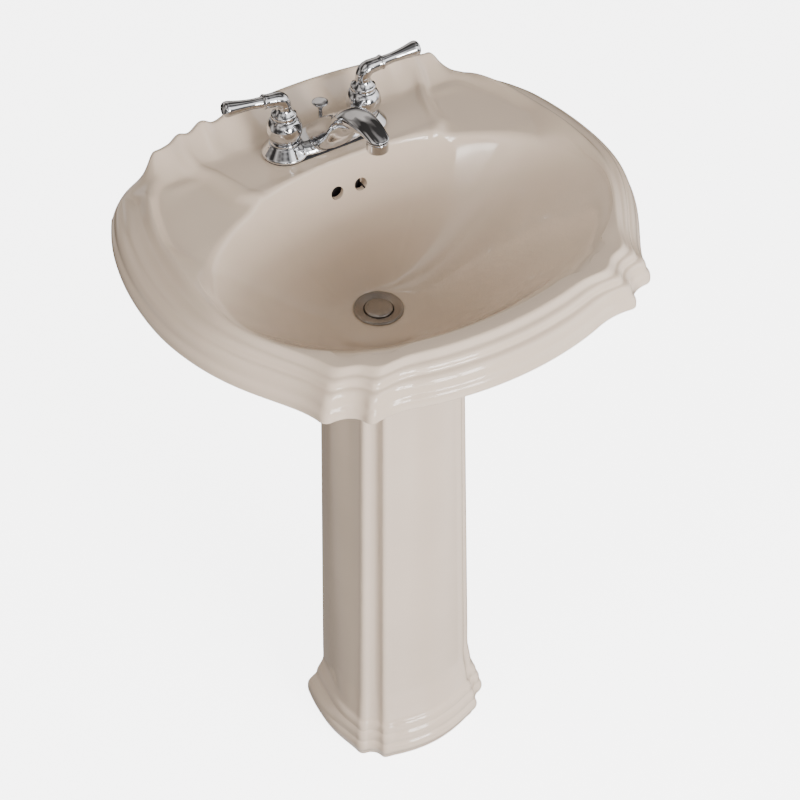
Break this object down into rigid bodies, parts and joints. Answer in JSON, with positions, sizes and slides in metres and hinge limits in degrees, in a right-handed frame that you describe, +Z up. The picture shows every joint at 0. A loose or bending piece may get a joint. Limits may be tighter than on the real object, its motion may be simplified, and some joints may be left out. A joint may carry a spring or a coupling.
{
  "type": "pedestal sink",
  "caption": "Biscuit china pedestal sink with a stepped, curved rim and low crest, an oval bowl, a chrome two-lever centreset faucet and a pop-up drain with its lift rod.",
  "frame": {"origin": "on the floor under the middle of the sink's overall width and depth", "axes": "+Z up, +Y towards the wall, -Y towards the user, +X to the right seen from the front"},
  "size_m": [0.576, 0.448, 0.922],
  "materials": {
    "china": "gloss",
    "chrome": "polished",
    "steel": "satin",
    "satin_metal": "satin",
    "brass": "satin",
    "rubber": "matte",
    "putty": "matte",
    "white_plastic": "matte"
  },
  "bodies": {
    "sink": {"basin": "china", "pedestal": "china", "faucet_body": "chrome", "faucet_gasket": "rubber", "aerator_housing": "chrome", "aerator_screen": "steel", "hot_cartridge": "brass", "cold_cartridge": "brass", "hot_bonnet": "chrome", "cold_bonnet": "chrome", "hot_shank": "brass", "cold_shank": "brass", "shank_washers": "steel", "shank_nuts": "brass", "drain_flange": "satin_metal", "flange_seal": "putty", "drain_body": "satin_metal", "drain_gasket": "rubber", "drain_washer": "white_plastic", "drain_nut": "satin_metal", "tailpiece": "chrome", "pivot_seat": "white_plastic", "pivot_nut": "white_plastic"},
    "hot_handle": {"hot_lever": "chrome", "hot_stem": "brass", "hot_set_screw": "steel"},
    "cold_handle": {"cold_lever": "chrome", "cold_stem": "brass", "cold_set_screw": "steel"},
    "lift": {"lift_rod": "chrome", "lift_knob": "chrome", "clevis": "steel", "clevis_screw": "steel"},
    "pivot": {"pivot_rod": "chrome", "spring_clip": "steel"},
    "stopper_body": {"stopper": "satin_metal", "stopper_seal": "rubber"}
  },
  "joints": [
    {"name": "hot_turn", "type": "hinge", "parent": "sink", "child": "hot_handle", "pos_m": [-0.0508, 0.1586, 0.9], "axis": [0, 0, 1], "range_deg": [0, 90]},
    {"name": "cold_turn", "type": "hinge", "parent": "sink", "child": "cold_handle", "pos_m": [0.0508, 0.1586, 0.9], "axis": [0, 0, 1], "range_deg": [-90, 0]},
    {"name": "lift_slide", "type": "slide", "parent": "sink", "child": "lift", "axis": [0, 0, 1], "range_m": [0, 0.03]},
    {"name": "pivot_turn", "type": "hinge", "parent": "sink", "child": "pivot", "pos_m": [0, 0.071, 0.596], "axis": [1, 0, 0], "range_deg": [0, 17]},
    {"name": "stopper_slide", "type": "slide", "parent": "sink", "child": "stopper_body", "axis": [0, 0, 1], "range_m": [-0.0077, 0]}
  ],
  "couplings": [
    {"joint": "pivot_turn", "follows": "lift_slide", "rad_per_m": 9.8},
    {"joint": "stopper_slide", "follows": "lift_slide", "ratio": -0.25}
  ]
}
